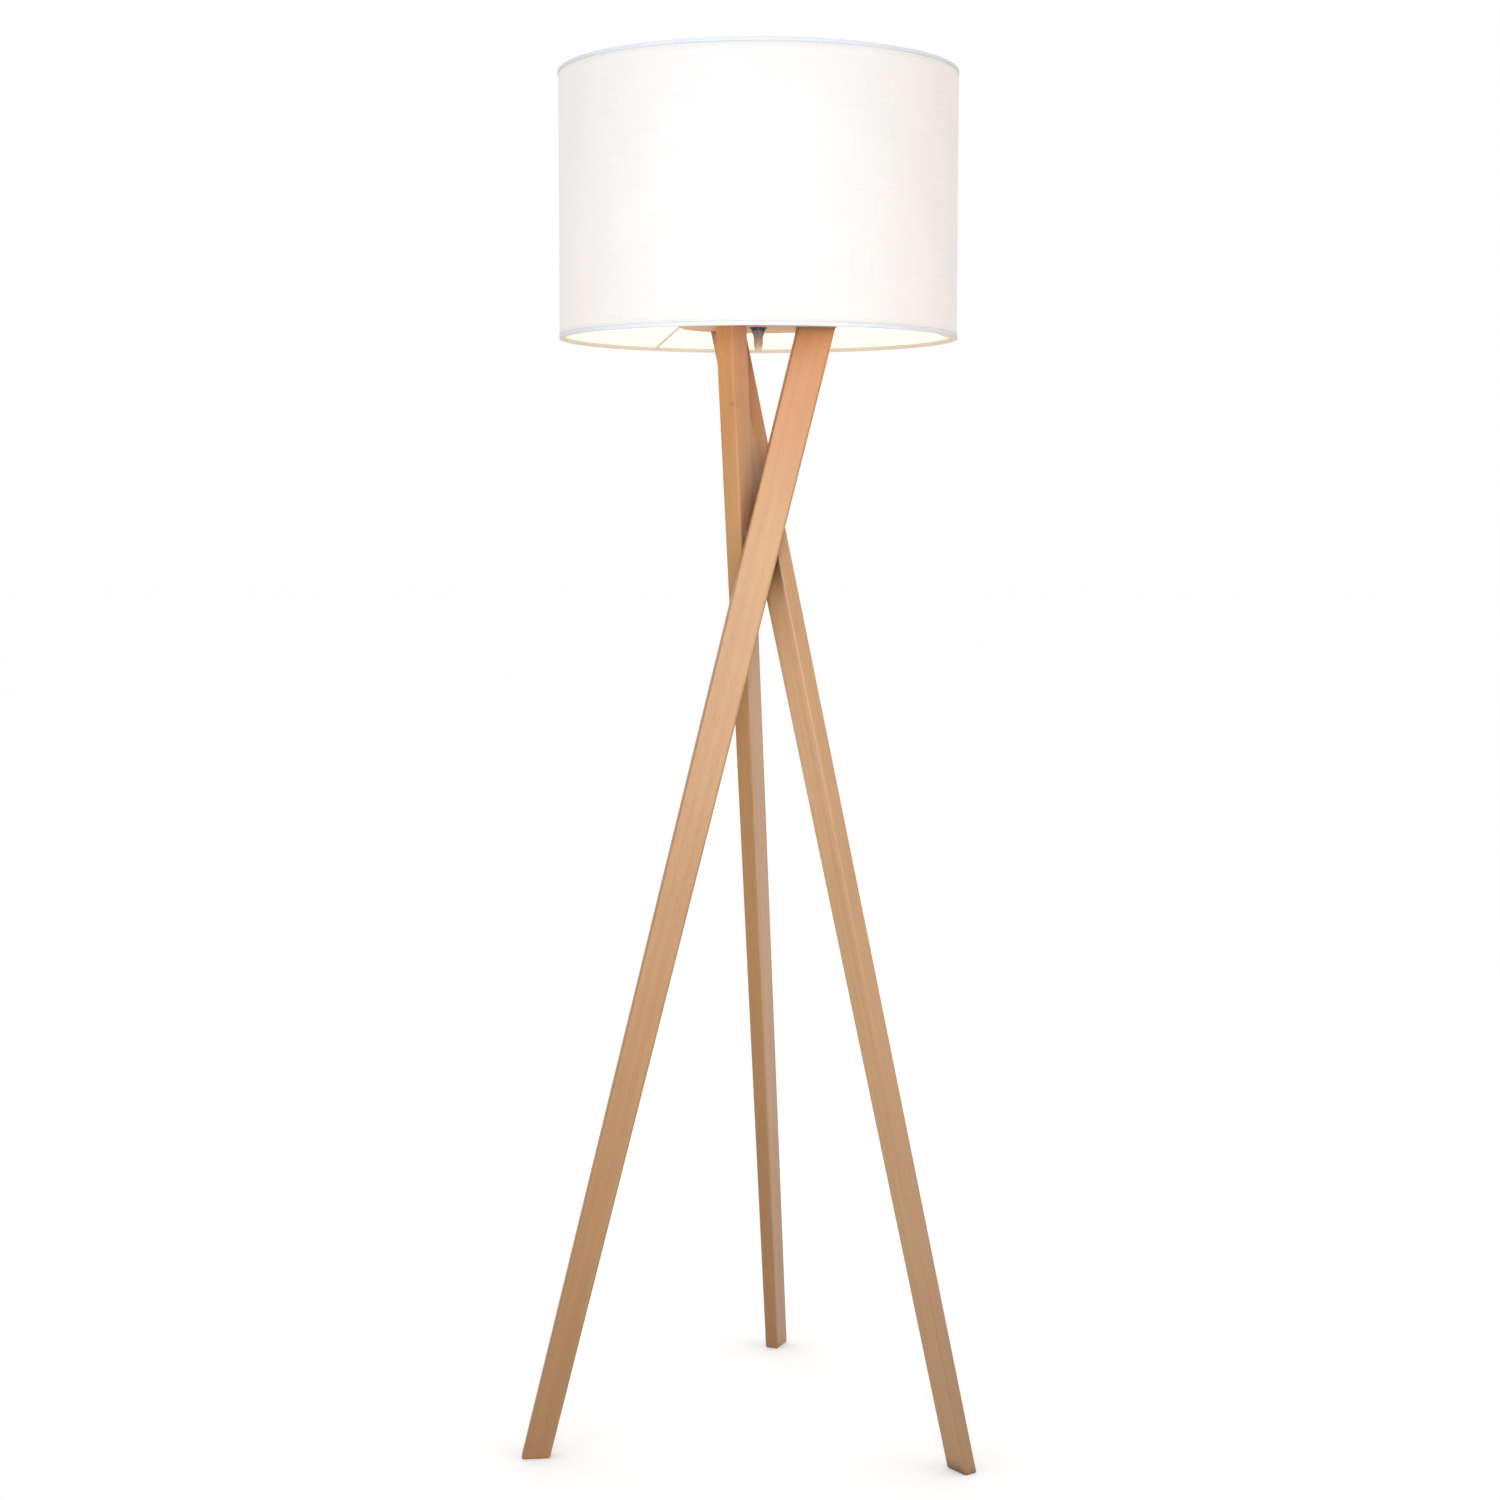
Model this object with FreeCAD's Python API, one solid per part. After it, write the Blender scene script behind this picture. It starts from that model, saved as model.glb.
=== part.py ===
import FreeCAD, Part
import math
import os

# Tripod floor lamp: three tapered wooden legs that cross at a waist, a round wooden plate on their tops,
# an E27 lamp holder with a slim LED bulb, and a linen drum shade on a three-armed wire spider.
# Millimetres, +Z up, origin on the lamp's axis at floor level, front towards -Y.
# One STEP file is written for each piece.

Vector = FreeCAD.Vector
UP = Vector(0, 0, 1)
ORIGIN = Vector(0, 0, 0)

# Shade, and the height that everything on the plate is measured from
RIM_Z = 1259.0                  # the shade's bottom rim above the floor
SHADE_HEIGHT = 296.0
SHADE_RADIUS = 225.0            # outside of the edge bindings
TRIM_THICKNESS = 0.4
TRIM_DEPTH = 4.5                # height of the binding on the outside
FABRIC_THICKNESS = 0.6
LINER_THICKNESS = 0.5
EDGE_GAP = 0.6                  # the cover and lining stop this far inside the binding's fold
RING_WIRE = 3.5                 # diameter of the two wire rings
ARM_WIRE = 3.2
ARM_COUNT = 3
ARM_AZIMUTH = 4.0               # degrees, the first of the spider's three arms
ARM_RISE_START = 2.9            # height of an arm's axis where it meets the bottom ring

# Legs
LEG_COUNT = 3
LEG_AZIMUTH = 20.83             # degrees, the way the first leg leans, from foot to top
LEG_LEAN = 14.91                # degrees from the vertical
LEG_TURN = 75.3                 # degrees that a leg's wide side is turned about its own axis
WAIST_Z = 1040.3                # height where the legs cross
WAIST_OFFSET = 20.7             # distance of each leg's axis from the lamp's axis there
LEG_WIDTH_FOOT = 30.7
LEG_WIDTH_TOP = 41.6
LEG_THICKNESS_FOOT = 17.2
LEG_THICKNESS_TOP = 20.3
LEG_EDGE_RADIUS = 2.5
SOLE_EASE = 2.0                 # chamfer round the edge of each foot's sole
LEG_SPARE = 40.0                # a leg is made this much too long at each end, then cut level
DOWEL_SCREW_RADIUS = 2.5
DOWEL_SCREW_LENGTH = 32.0
DOWEL_SCREW_POINT = 4.0

# Plate and its screws
PLATE_BOTTOM = RIM_Z + 14.0
PLATE_THICKNESS = 18.0
PLATE_TOP = PLATE_BOTTOM + PLATE_THICKNESS
PLATE_RADIUS = 90.0
PLATE_EDGE_RADIUS = 2.0
SCREW_SPACING = 18.0            # between the two screws in one leg
SCREW_LENGTH = 45.0
SCREW_RADIUS = 2.0
SCREW_HEAD_RADIUS = 4.0
SCREW_HEAD_HEIGHT = 2.2
SCREW_POINT = 5.0
SLOT_LENGTH = 4.8
SLOT_WIDTH = 1.0
SLOT_DEPTH = 1.5

# Threaded tube with its nuts and washers
STEM_RADIUS = 5.0
STEM_BORE = 3.6
STEM_BOTTOM = RIM_Z + 4.0
STEM_TOP = RIM_Z + 45.0
STEM_HOLE = 5.1
WASHER_RADIUS = 10.0
WASHER_THICKNESS = 1.0
NUT_FLATS = 14.0
NUT_HEIGHT = 3.0

# Gland of the mains cord
GRIP_TOP = RIM_Z + 9.4
GRIP_HEAD_RADIUS = 7.0          # the head that screws on the threaded tube
GRIP_HEAD_BOTTOM = RIM_Z + 8.0
GRIP_CONE_BOTTOM = RIM_Z + 3.2
GRIP_RADIUS = 5.2
GRIP_SHOULDER = RIM_Z - 3.7
GRIP_NECK_Z = RIM_Z - 7.5
GRIP_NECK_RADIUS = 4.6
GRIP_BOTTOM = RIM_Z - 12.0
GRIP_TIP_RADIUS = 3.3
GRIP_BORE = 2.9
GRIP_SCREW_Z = RIM_Z + 0.4      # below the end of the threaded tube
GRIP_SCREW_RADIUS = 1.25
GRIP_SCREW_SINK = 0.2           # the screw ends this far inside the collar's surface
GRIP_SCREW_GAP = 0.3            # and starts this far outside its bore
GRIP_SLOT_WIDTH = 0.5
GRIP_SLOT_DEPTH = 0.8

# E27 lamp holder
HOLDER_BASE = RIM_Z + 36.0
HOLDER_CAP_TOP = RIM_Z + 64.0
HOLDER_SHOULDER = RIM_Z + 80.0  # the shade's hub rests here
HOLDER_TOP = RIM_Z + 101.0
HOLDER_CAP_RADIUS = 22.5
HOLDER_THREAD_RADIUS = 19.8
HOLDER_THREAD_ROOT = 18.9
HOLDER_THREAD_PITCH = 2.5
HOLDER_BORE = 17.3
INSERT_RADIUS = 17.1
INSERT_BOTTOM = RIM_Z + 58.0
INSERT_TOP = RIM_Z + 68.0
SLEEVE_RADIUS = 13.85           # outside of the brass screw contact
SLEEVE_WALL = 0.4
SLEEVE_TOP = RIM_Z + 97.0
TERMINAL_REACH = 9.0            # distance of the wire holes from the axis
TERMINAL_Z = RIM_Z + 62.0
TERMINAL_SHANK_RADIUS = 1.5
TERMINAL_HEAD_RADIUS = 2.7
TERMINAL_HEAD_START = 14.6      # distance of a screw's head from the axis
TERMINAL_HEAD_END = 16.4
TERMINAL_POCKET_RADIUS = 2.8
TERMINAL_SLOT_WIDTH = 0.8
TERMINAL_SLOT_DEPTH = 0.45
INSERT_FLOOR = 2.0              # depth of the insert's recess
INSERT_RIVET_BORE = 2.0
CONTACT_SHEET = 0.45
CONTACT_WIDTH = 5.0
CONTACT_RIVET_RADIUS = 1.95
LEAD_RADIUS = 1.1
LEAD_TOP = RIM_Z + 64.5
LEAD_BEND_Z = RIM_Z + 45.5      # where a lead leaves the stem tube
LEAD_BEND_RADIUS = 6.0
LEAD_BEND_ANGLE = 45.0

# Ring nut and hub
HUB_GAP = 0.1                   # running gap between the hub and the holder's shoulder
HUB_BORE = 21.0
HUB_RADIUS = 31.0
HUB_THICKNESS = 1.5
RING_NUT_GAP = 0.1
RING_NUT_BORE = 20.05
RING_NUT_RADIUS = 28.5
RING_NUT_HEIGHT = 9.5
RING_NUT_GRIPS = 18
GRIP_NOTCH_RADIUS = 2.4

# LED bulb
BULB_TIP_Z = RIM_Z + 71.0
CAP_BOTTOM = RIM_Z + 76.0
CAP_TOP = RIM_Z + 97.5
CAP_RADIUS = 13.1               # crest of the E27 thread
CAP_ROOT = 12.2
CAP_WALL = 0.35
CAP_PITCH = 3.63
CAP_TURNS = 4
BULB_RADIUS = 18.5
HOUSING_TOP = RIM_Z + 124.0
HOUSING_WALL = 1.5
DOME_TOP = RIM_Z + 175.5
DOME_WALL = 1.0
BOARD_RADIUS = 15.5
BOARD_THICKNESS = 1.6
BOARD_Z = HOUSING_TOP - 1.5
DRIVER_WIDTH = 17.0
DRIVER_THICKNESS = 1.2
DRIVER_BOTTOM = CAP_BOTTOM + 5.0
DRIVER_TOP = HOUSING_TOP - 6.0
LED_INSET = 4.0                 # from the board's rim to the middle of a chip
LED_COUNT = 10
LED_SIZE = (3.0, 2.8, 0.7)


def at(radius, height):
    """A point of a turned profile: distance from the axis, and height above the floor."""
    return Vector(radius, 0, height)


def lathe(profile):
    """Turns a closed outline of (radius, height) points about the lamp's axis."""
    points = [at(r, z) for r, z in profile]
    outline = Part.makePolygon(points + points[:1])
    return Part.Face(outline).revolve(ORIGIN, UP, 360)


def tube(outer, inner, bottom, top):
    """An upright tube on the axis."""
    return lathe([(inner, bottom), (outer, bottom), (outer, top), (inner, top)])


def rod(radius, start, end):
    """A round bar between two points."""
    return Part.makeCylinder(radius, (end - start).Length, start, end - start)


def polar(radius, degrees, height):
    """A point at a distance and direction from the lamp's axis."""
    angle = math.radians(degrees)
    return Vector(radius * math.cos(angle), radius * math.sin(angle), height)


def group(solids):
    """Several separate solids that make one node."""
    return Part.makeCompound(solids)


# ---- legs ----

def leg_azimuth(index):
    return LEG_AZIMUTH + index * 360.0 / LEG_COUNT


def leg_axes(index):
    """A leg's axis at the waist, and its directions: along the leg, across its width and its thickness."""
    azimuth = math.radians(leg_azimuth(index))
    lean = math.radians(LEG_LEAN)
    turn = math.radians(LEG_TURN)
    outward = Vector(math.cos(azimuth), math.sin(azimuth), 0)
    sideways = Vector(math.sin(azimuth), -math.cos(azimuth), 0)
    along = outward * math.sin(lean) + UP * math.cos(lean)
    wide = sideways * math.cos(turn) + along.cross(sideways) * math.sin(turn)
    thin = wide.cross(along)
    return UP * WAIST_Z + sideways * WAIST_OFFSET, along, wide, thin


def leg_point(index, height):
    """Where a leg's axis passes a height."""
    waist, along, _, _ = leg_axes(index)
    return waist + along * ((height - WAIST_Z) / along.z)


def leg_section(height):
    """Half the width and half the thickness of a leg at a height. Both taper evenly."""
    share = height / PLATE_BOTTOM
    width = LEG_WIDTH_FOOT + (LEG_WIDTH_TOP - LEG_WIDTH_FOOT) * share
    thickness = LEG_THICKNESS_FOOT + (LEG_THICKNESS_TOP - LEG_THICKNESS_FOOT) * share
    return width / 2, thickness / 2


def leg_blank(index):
    """A tapered board with eased edges, square to its own axis and too long at both ends."""
    waist, along, wide, thin = leg_axes(index)
    low, high = -LEG_SPARE, PLATE_BOTTOM + LEG_SPARE
    w0, t0 = leg_section(low)
    w1, t1 = leg_section(high)
    start = (low - WAIST_Z) / along.z
    end = (high - WAIST_Z) / along.z
    board = Part.makeWedge(-w0, start, -t0, -t1, -w1, w0, end, t0, t1, w1)
    long_edges = [e for e in board.Edges if e.Length > end - start - 1]
    board = board.makeFillet(LEG_EDGE_RADIUS, long_edges)
    turned = FreeCAD.Matrix(
        wide.x, along.x, thin.x, waist.x,
        wide.y, along.y, thin.y, waist.y,
        wide.z, along.z, thin.z, waist.z,
        0, 0, 0, 1,
    )
    board.Placement = FreeCAD.Placement(turned)
    return board


def sole_chamfers(index):
    """Four blocks, each with a face sloped at 45 degrees, that take the sharp edge off a foot's sole."""
    _, _, wide, thin = leg_axes(index)
    half_width, half_thickness = leg_section(0)
    size = 2 * LEG_WIDTH_TOP
    sides = [(wide, half_width), (wide * -1, half_width), (thin, half_thickness), (thin * -1, half_thickness)]
    blocks = []
    for side, half in sides:
        level = Vector(side.x, side.y, 0)
        half_level = half / level.Length
        level.normalize()
        block = Part.makeBox(size, size, size, Vector(-size / 2, -size / 2, -size))
        block.Placement = FreeCAD.Placement(
            leg_point(index, 0) + level * (half_level - SOLE_EASE), FreeCAD.Rotation(UP, UP - level))
        blocks.append(block)
    return blocks


def leg(index, fixings):
    """One leg, cut level at the floor and under the plate, eased at the sole, and drilled for its fixings."""
    reach = 2 * SHADE_RADIUS
    room = Part.makeBox(2 * reach, 2 * reach, PLATE_BOTTOM, Vector(-reach, -reach, 0))
    board = leg_blank(index).common(room)
    for block in sole_chamfers(index):
        board = board.cut(block)
    return board.cut(group(fixings))


def crossing(index):
    """The middle of the gap between a leg and the next one, and the direction straight across it."""
    p, d, _, _ = leg_axes(index)
    q, e, _, _ = leg_axes((index + 1) % LEG_COUNT)
    across = d.cross(e).normalize()
    apart = q - p
    along_first = apart.cross(e).dot(across) / d.cross(e).dot(across)
    along_second = apart.cross(d).dot(across) / d.cross(e).dot(across)
    return (p + d * along_first + q + e * along_second) * 0.5, across


def dowel_screw(index):
    """A steel pin, pointed at both ends, that joins two legs where they cross."""
    middle, across = crossing(index)
    straight = DOWEL_SCREW_LENGTH / 2 - DOWEL_SCREW_POINT
    pin = rod(DOWEL_SCREW_RADIUS, middle - across * straight, middle + across * straight)
    for side in (across, across * -1):
        point = Part.makeCone(DOWEL_SCREW_RADIUS, 0, DOWEL_SCREW_POINT, middle + side * straight, side)
        pin = pin.fuse(point)
    return pin.removeSplitter()


def leg_screw_places(index):
    """The two places on the plate's top face over a leg's top end."""
    _, _, wide, _ = leg_axes(index)
    flat = Vector(wide.x, wide.y, 0).normalize()
    middle = leg_point(index, PLATE_BOTTOM)
    middle.z = PLATE_TOP
    return [middle + flat * (side * SCREW_SPACING / 2) for side in (-1, 1)]


def leg_screw_body(place):
    """A countersunk wood screw, head level with the plate's top, without its cross slot."""
    outline = [
        (0, 0), (SCREW_HEAD_RADIUS, 0), (SCREW_RADIUS, -SCREW_HEAD_HEIGHT),
        (SCREW_RADIUS, SCREW_POINT - SCREW_LENGTH), (0, -SCREW_LENGTH),
    ]
    screw = lathe(outline)
    screw.translate(place)
    return screw


def leg_screw(place):
    """A screw with its cross slot."""
    screw = leg_screw_body(place)
    reach = SLOT_LENGTH / 2
    for length, width in ((reach, SLOT_WIDTH / 2), (SLOT_WIDTH / 2, reach)):
        corner = place + Vector(-length, -width, -SLOT_DEPTH)
        screw = screw.cut(Part.makeBox(2 * length, 2 * width, 2 * SLOT_DEPTH, corner))
    return screw


def top_plate(screws):
    """The round plate, with a hole for the threaded tube and countersunk holes for the screws."""
    plate = Part.makeCylinder(PLATE_RADIUS, PLATE_THICKNESS, Vector(0, 0, PLATE_BOTTOM))
    rims = [e for e in plate.Edges if e.Closed]
    plate = plate.makeFillet(PLATE_EDGE_RADIUS, rims)
    hole = Part.makeCylinder(STEM_HOLE, PLATE_THICKNESS, Vector(0, 0, PLATE_BOTTOM))
    return plate.cut(group([hole] + screws))


# ---- threaded tube, nuts, gland ----

def hexagon_nut(bottom):
    corner = NUT_FLATS / math.sqrt(3)
    points = [polar(corner, 60.0 * i, bottom) for i in range(7)]
    block = Part.Face(Part.makePolygon(points)).extrude(Vector(0, 0, NUT_HEIGHT))
    chamfer = (corner - NUT_FLATS / 2) / 2
    middle = bottom + NUT_HEIGHT / 2
    rounded = lathe([
        (0, bottom), (corner - 2 * chamfer, bottom), (corner, middle - chamfer),
        (corner, middle + chamfer), (corner - 2 * chamfer, bottom + NUT_HEIGHT), (0, bottom + NUT_HEIGHT),
    ])
    hole = Part.makeCylinder(STEM_RADIUS, NUT_HEIGHT, Vector(0, 0, bottom))
    return block.common(rounded).cut(hole)


def washer(bottom):
    return tube(WASHER_RADIUS, STEM_RADIUS + 0.2, bottom, bottom + WASHER_THICKNESS)


def cord_grip():
    """The gland: a head that screws on the threaded tube, a collar, and a tapered nose for the cord."""
    body = lathe([
        (GRIP_BORE, GRIP_BOTTOM), (GRIP_TIP_RADIUS, GRIP_BOTTOM), (GRIP_NECK_RADIUS, GRIP_NECK_Z),
        (GRIP_RADIUS, GRIP_SHOULDER), (GRIP_RADIUS, GRIP_CONE_BOTTOM),
        (GRIP_HEAD_RADIUS, GRIP_HEAD_BOTTOM), (GRIP_HEAD_RADIUS, GRIP_TOP), (STEM_RADIUS, GRIP_TOP),
        (STEM_RADIUS, STEM_BOTTOM), (GRIP_BORE, STEM_BOTTOM),
    ])
    return body.cut(rod(GRIP_SCREW_RADIUS, at(0, GRIP_SCREW_Z), at(2 * GRIP_RADIUS, GRIP_SCREW_Z)))


def cord_grip_screw():
    """The small screw that clamps the cord, flush with the collar."""
    start, end = GRIP_BORE + GRIP_SCREW_GAP, GRIP_RADIUS - GRIP_SCREW_SINK
    screw = rod(GRIP_SCREW_RADIUS, at(start, GRIP_SCREW_Z), at(end, GRIP_SCREW_Z))
    reach = 2 * GRIP_SCREW_RADIUS
    slot = Part.makeBox(GRIP_SLOT_DEPTH, 2 * reach, GRIP_SLOT_WIDTH)
    slot.translate(Vector(end - GRIP_SLOT_DEPTH, -reach, GRIP_SCREW_Z - GRIP_SLOT_WIDTH / 2))
    return screw.cut(slot)


# ---- lamp holder ----

def holder_cap():
    """The domed cap that screws on the threaded tube."""
    r, z = HOLDER_CAP_RADIUS, HOLDER_BASE
    return lathe([
        (STEM_RADIUS, z), (8.0, z), (8.6, z + 5), (15.0, z + 6.5), (19.6, z + 9.5), (r - 0.4, z + 14.5),
        (r, z + 19), (r, HOLDER_CAP_TOP), (r - 2.3, HOLDER_CAP_TOP), (r - 2.3, z + 17), (18.4, z + 12.5),
        (14.0, z + 9.5), (STEM_RADIUS, z + 8.5),
    ])


def thread_outline(crest, root, pitch, bottom, turns):
    """The outer side of a thread, as rounded ridges from the bottom up."""
    points = []
    for i in range(turns):
        z = bottom + i * pitch
        points += [(root, z), (crest, z + 0.35 * pitch), (crest, z + 0.65 * pitch)]
    return points + [(root, bottom + turns * pitch)]


def holder_shell():
    """The holder's outer shell: a skirt inside the cap, the shade's shoulder, and the ring nut's thread."""
    skirt = HOLDER_CAP_RADIUS - 2.5
    turns = int((HOLDER_TOP - HOLDER_SHOULDER) / HOLDER_THREAD_PITCH)
    ridges = thread_outline(
        HOLDER_THREAD_RADIUS, HOLDER_THREAD_ROOT, HOLDER_THREAD_PITCH, HOLDER_SHOULDER, turns)
    return lathe([
        (HOLDER_BORE, HOLDER_CAP_TOP - 7), (skirt, HOLDER_CAP_TOP - 7), (skirt, HOLDER_CAP_TOP),
        (HOLDER_CAP_RADIUS, HOLDER_CAP_TOP), (HOLDER_CAP_RADIUS, HOLDER_CAP_TOP + 3),
        (20.6, HOLDER_CAP_TOP + 4.5), (20.6, HOLDER_SHOULDER - 4.5), (23.0, HOLDER_SHOULDER - 3),
        (23.0, HOLDER_SHOULDER),
    ] + ridges + [
        (HOLDER_THREAD_ROOT, HOLDER_TOP), (15.3, HOLDER_TOP), (15.3, HOLDER_TOP - 2),
        (HOLDER_BORE, HOLDER_TOP - 3.5),
    ])


def terminal_screw(side):
    """A brass screw that clamps a lead in the insert."""
    z = TERMINAL_Z
    neck = at(side * TERMINAL_HEAD_START, z)
    end = at(side * TERMINAL_HEAD_END, z)
    shank = rod(TERMINAL_SHANK_RADIUS, at(side * (TERMINAL_REACH + LEAD_RADIUS), z), neck)
    screw = shank.fuse(rod(TERMINAL_HEAD_RADIUS, neck, end)).removeSplitter()
    depth, reach = TERMINAL_SLOT_DEPTH, TERMINAL_POCKET_RADIUS
    slot = Part.makeBox(2 * depth, 2 * reach, TERMINAL_SLOT_WIDTH)
    slot.translate(end - Vector(depth, reach, TERMINAL_SLOT_WIDTH / 2))
    return screw.cut(slot)


def holder_insert():
    """The ceramic insert that carries the contacts, with its wire holes and screw pockets."""
    floor = INSERT_TOP - INSERT_FLOOR
    body = lathe([
        (INSERT_RIVET_BORE, INSERT_BOTTOM), (INSERT_RADIUS, INSERT_BOTTOM), (INSERT_RADIUS, INSERT_TOP),
        (SLEEVE_RADIUS, INSERT_TOP), (SLEEVE_RADIUS, floor), (INSERT_RIVET_BORE, floor),
    ])
    pockets = []
    for side in (-1, 1):
        wire = at(side * TERMINAL_REACH, INSERT_BOTTOM)
        neck = at(side * TERMINAL_HEAD_START, TERMINAL_Z)
        outside = at(side * (INSERT_RADIUS + 1), TERMINAL_Z)
        pockets.append(rod(LEAD_RADIUS, wire, at(side * TERMINAL_REACH, LEAD_TOP)))
        pockets.append(rod(TERMINAL_SHANK_RADIUS, at(side * TERMINAL_REACH, TERMINAL_Z), neck))
        pockets.append(rod(TERMINAL_POCKET_RADIUS, neck, outside))
    return body.cut(group(pockets[:3])).cut(group(pockets[3:]))


def holder_sleeve():
    """The thin brass screw contact that the bulb's cap turns in."""
    r = SLEEVE_RADIUS
    bottom = INSERT_TOP - INSERT_FLOOR
    return lathe([
        (r - 4, bottom), (r, bottom), (r, SLEEVE_TOP - 1), (r + 0.8, SLEEVE_TOP),
        (r + 0.4, SLEEVE_TOP + 0.3), (r - SLEEVE_WALL, SLEEVE_TOP - 0.8),
        (r - SLEEVE_WALL, bottom + SLEEVE_WALL), (r - 4, bottom + SLEEVE_WALL),
    ])


def holder_centre_contact():
    """A sprung brass tongue under the bulb's tip, with the rivet that holds it in the insert."""
    floor = INSERT_TOP - INSERT_FLOOR
    sheet, width = CONTACT_SHEET, CONTACT_WIDTH
    top = BULB_TIP_Z - 0.15
    outline = [at(x, z) for x, z in [
        (-6.0, floor), (3.7, floor), (5.1, floor + 1.1), (4.2, floor + 2.3), (-2.5, top), (-2.5, top - sheet),
        (3.7, floor + 1.85), (4.4, floor + 1.1), (3.4, floor + sheet), (-6.0, floor + sheet),
    ]]
    strip = Part.Face(Part.makePolygon(outline + outline[:1])).extrude(Vector(0, width, 0))
    strip.translate(Vector(0, -width / 2, 0))
    rivet = rod(CONTACT_RIVET_RADIUS, at(0, INSERT_BOTTOM), at(0, floor + 1))
    return strip.fuse(rivet).removeSplitter()


def lead(side):
    """An insulated lead from the gland up the threaded tube, spread to its terminal by two arcs."""
    near = side * (LEAD_RADIUS + 0.2)
    far = side * TERMINAL_REACH
    angle = math.radians(LEAD_BEND_ANGLE)
    radius = LEAD_BEND_RADIUS
    shift = abs(far - near) - 2 * radius * (1 - math.cos(angle))
    straight = shift / math.sin(angle)
    z0 = LEAD_BEND_Z
    out, up = radius * (1 - math.cos(angle)), radius * math.sin(angle)
    half_out, half_up = radius * (1 - math.cos(angle / 2)), radius * math.sin(angle / 2)
    a = at(near, STEM_BOTTOM + 1)
    b = at(near, z0)
    c = at(near + side * out, z0 + up)
    d = at(near + side * (out + shift), z0 + up + straight * math.cos(angle))
    e = at(far, d.z + up)
    f = at(far, LEAD_TOP)
    first = Part.Arc(b, at(near + side * half_out, z0 + half_up), c)
    second = Part.Arc(d, at(far - side * half_out, e.z - half_up), e)
    path = Part.Wire([
        Part.LineSegment(a, b).toShape(), first.toShape(), Part.LineSegment(c, d).toShape(),
        second.toShape(), Part.LineSegment(e, f).toShape(),
    ])
    section = Part.Wire([Part.makeCircle(LEAD_RADIUS, a, UP)])
    return path.makePipeShell([section], True, False)


# ---- ring nut and shade ----

def hub_bottom():
    return HOLDER_SHOULDER + HUB_GAP


def clamp_ring():
    """The ring nut that holds the hub down, with finger notches round its rim."""
    bottom = hub_bottom() + HUB_THICKNESS + RING_NUT_GAP
    top = bottom + RING_NUT_HEIGHT
    edge = 1.0
    ring = lathe([
        (RING_NUT_BORE, bottom), (RING_NUT_RADIUS - edge, bottom), (RING_NUT_RADIUS, bottom + edge),
        (RING_NUT_RADIUS, top - edge), (RING_NUT_RADIUS - edge, top), (RING_NUT_BORE, top),
    ])
    notches = []
    for i in range(RING_NUT_GRIPS):
        place = polar(RING_NUT_RADIUS + GRIP_NOTCH_RADIUS / 2, i * 360.0 / RING_NUT_GRIPS, bottom)
        notches.append(Part.makeCylinder(GRIP_NOTCH_RADIUS, RING_NUT_HEIGHT, place))
    return ring.cut(group(notches))


def shade_hub():
    bottom = hub_bottom()
    return tube(HUB_RADIUS, HUB_BORE, bottom, bottom + HUB_THICKNESS)


def ring_radius():
    """The radius of the wire rings' centre line."""
    liner_inside = SHADE_RADIUS - TRIM_THICKNESS - FABRIC_THICKNESS - LINER_THICKNESS
    return liner_inside - RING_WIRE / 2 - 0.05


def ring_inset():
    """How far a wire ring's centre is from the shade's end."""
    return EDGE_GAP + RING_WIRE / 2 + 0.1


def shade_ring(height):
    return Part.makeTorus(ring_radius(), RING_WIRE / 2, Vector(0, 0, height), UP)


def shade_arms():
    """Three straight wires from the bottom ring up to the hub."""
    ring = shade_ring(RIM_Z + ring_inset())
    hub = shade_hub()
    arms = []
    for i in range(ARM_COUNT):
        azimuth = ARM_AZIMUTH + i * 360.0 / ARM_COUNT
        start = polar(ring_radius(), azimuth, RIM_Z + ARM_RISE_START)
        end = polar(HUB_RADIUS - 0.5, azimuth, hub_bottom() + HUB_THICKNESS / 2)
        arms.append(rod(ARM_WIRE / 2, start, end).cut(ring).cut(hub).Solids[0])
    return group(arms)


def shade_wall(outer, thickness):
    return tube(outer, outer - thickness, RIM_Z + EDGE_GAP, RIM_Z + SHADE_HEIGHT - EDGE_GAP)


def shade_trim(end, inward):
    """A bound edge, folded round the wall and the wire ring. inward is +1 at the bottom and -1 at the top."""
    r = SHADE_RADIUS
    wall = r - TRIM_THICKNESS
    inner = ring_radius() - RING_WIRE / 2 - 0.05
    fold = ring_inset() + RING_WIRE / 2
    outline = [
        (r, 0.3), (r, TRIM_DEPTH), (wall, TRIM_DEPTH), (wall, TRIM_THICKNESS), (inner, TRIM_THICKNESS),
        (inner, fold), (inner - TRIM_THICKNESS, fold), (inner - TRIM_THICKNESS, 0.3),
        (inner - TRIM_THICKNESS + 0.3, 0), (r - 0.3, 0),
    ]
    return lathe([(radius, end + inward * depth) for radius, depth in outline])


# ---- bulb ----

def bulb_tip():
    """The solder contact on the bulb's bottom end."""
    z = BULB_TIP_Z
    return lathe([(0, z), (3.0, z), (4.4, z + 1.0), (4.8, z + 2.0), (0, z + 2.0)])


def bulb_insulator():
    z = BULB_TIP_Z + 2.0
    return lathe([
        (0, z), (5.2, z), (9.0, z + 2.0), (CAP_ROOT - 0.9, CAP_BOTTOM), (CAP_ROOT - 0.9, CAP_BOTTOM + 1.5),
        (0, CAP_BOTTOM + 1.5),
    ])


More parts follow.
